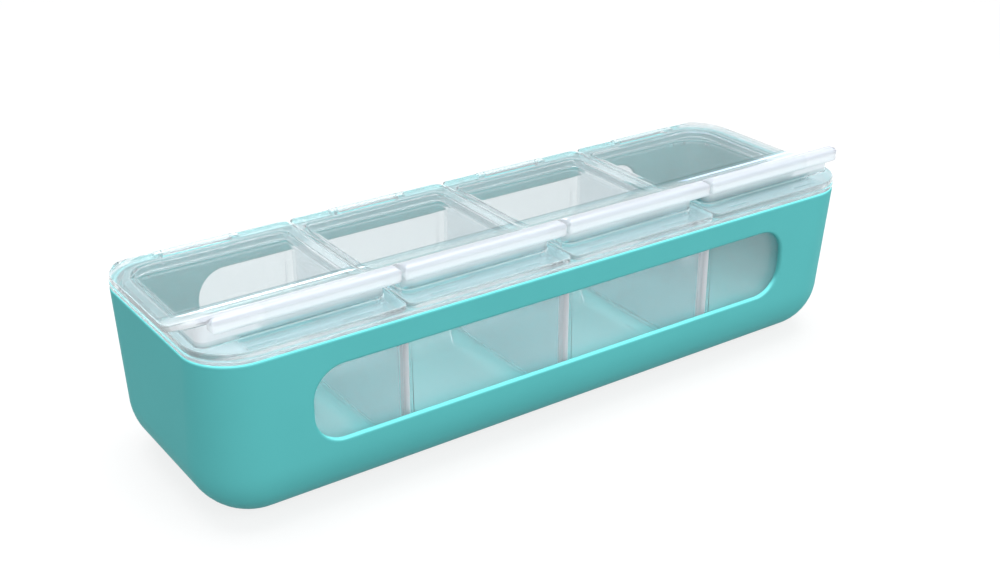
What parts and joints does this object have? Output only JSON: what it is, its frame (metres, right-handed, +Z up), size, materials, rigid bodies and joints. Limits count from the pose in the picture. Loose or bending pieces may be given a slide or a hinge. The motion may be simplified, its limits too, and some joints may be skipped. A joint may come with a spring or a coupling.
{
  "type": "condiment caddy with flip lids",
  "caption": "Long rounded serving tray with sight windows and lift-out bins under a clear lid frame, whose hinged lids flip up by a finger lip.",
  "frame": {"origin": "middle of the flat base, on the surface that the caddy stands on", "axes": "+X along the tray, +Y towards the hinges, +Z up"},
  "size_m": [0.3, 0.097, 0.0848],
  "materials": {
    "tray_plastic": "satin teal moulded plastic",
    "bin_plastic": "clear, faintly smoky moulded plastic",
    "frame_plastic": "clear moulded plastic",
    "lid_plastic": "clear polished moulded plastic"
  },
  "bodies": {
    "tray": {"outer_tray": "tray_plastic"},
    "frame": {"lid_frame": "frame_plastic"},
    "bin_1": {"bin_1": "bin_plastic"},
    "bin_2": {"bin_2": "bin_plastic"},
    "bin_3": {"bin_3": "bin_plastic"},
    "bin_4": {"bin_4": "bin_plastic"},
    "lid_1": {"lid_1": "lid_plastic"},
    "lid_2": {"lid_2": "lid_plastic"},
    "lid_3": {"lid_3": "lid_plastic"},
    "lid_4": {"lid_4": "lid_plastic"}
  },
  "joints": [
    {"name": "frame_lift", "type": "slide", "parent": "tray", "child": "frame", "axis": [0, 0, 1], "range_m": [0, 0.14]},
    {"name": "bin_1_lift", "type": "slide", "parent": "tray", "child": "bin_1", "axis": [0, 0, 1], "range_m": [0, 0.07]},
    {"name": "bin_2_lift", "type": "slide", "parent": "tray", "child": "bin_2", "axis": [0, 0, 1], "range_m": [0, 0.07]},
    {"name": "bin_3_lift", "type": "slide", "parent": "tray", "child": "bin_3", "axis": [0, 0, 1], "range_m": [0, 0.07]},
    {"name": "bin_4_lift", "type": "slide", "parent": "tray", "child": "bin_4", "axis": [0, 0, 1], "range_m": [0, 0.07]},
    {"name": "lid_1_flip", "type": "hinge", "parent": "frame", "child": "lid_1", "pos_m": [-0.11092, 0.0444, 0.0713], "axis": [-1, 0, 0], "range_deg": [0, 110]},
    {"name": "lid_2_flip", "type": "hinge", "parent": "frame", "child": "lid_2", "pos_m": [-0.036, 0.0444, 0.0713], "axis": [-1, 0, 0], "range_deg": [0, 110]},
    {"name": "lid_3_flip", "type": "hinge", "parent": "frame", "child": "lid_3", "pos_m": [0.036, 0.0444, 0.0713], "axis": [-1, 0, 0], "range_deg": [0, 110]},
    {"name": "lid_4_flip", "type": "hinge", "parent": "frame", "child": "lid_4", "pos_m": [0.11092, 0.0444, 0.0713], "axis": [-1, 0, 0], "range_deg": [0, 110]}
  ],
  "couplings": [
    {"joint": "bin_1_lift", "follows": "frame_lift", "ratio": 0.5},
    {"joint": "bin_2_lift", "follows": "frame_lift", "ratio": 0.5},
    {"joint": "bin_3_lift", "follows": "frame_lift", "ratio": 0.5},
    {"joint": "bin_4_lift", "follows": "frame_lift", "ratio": 0.5}
  ]
}
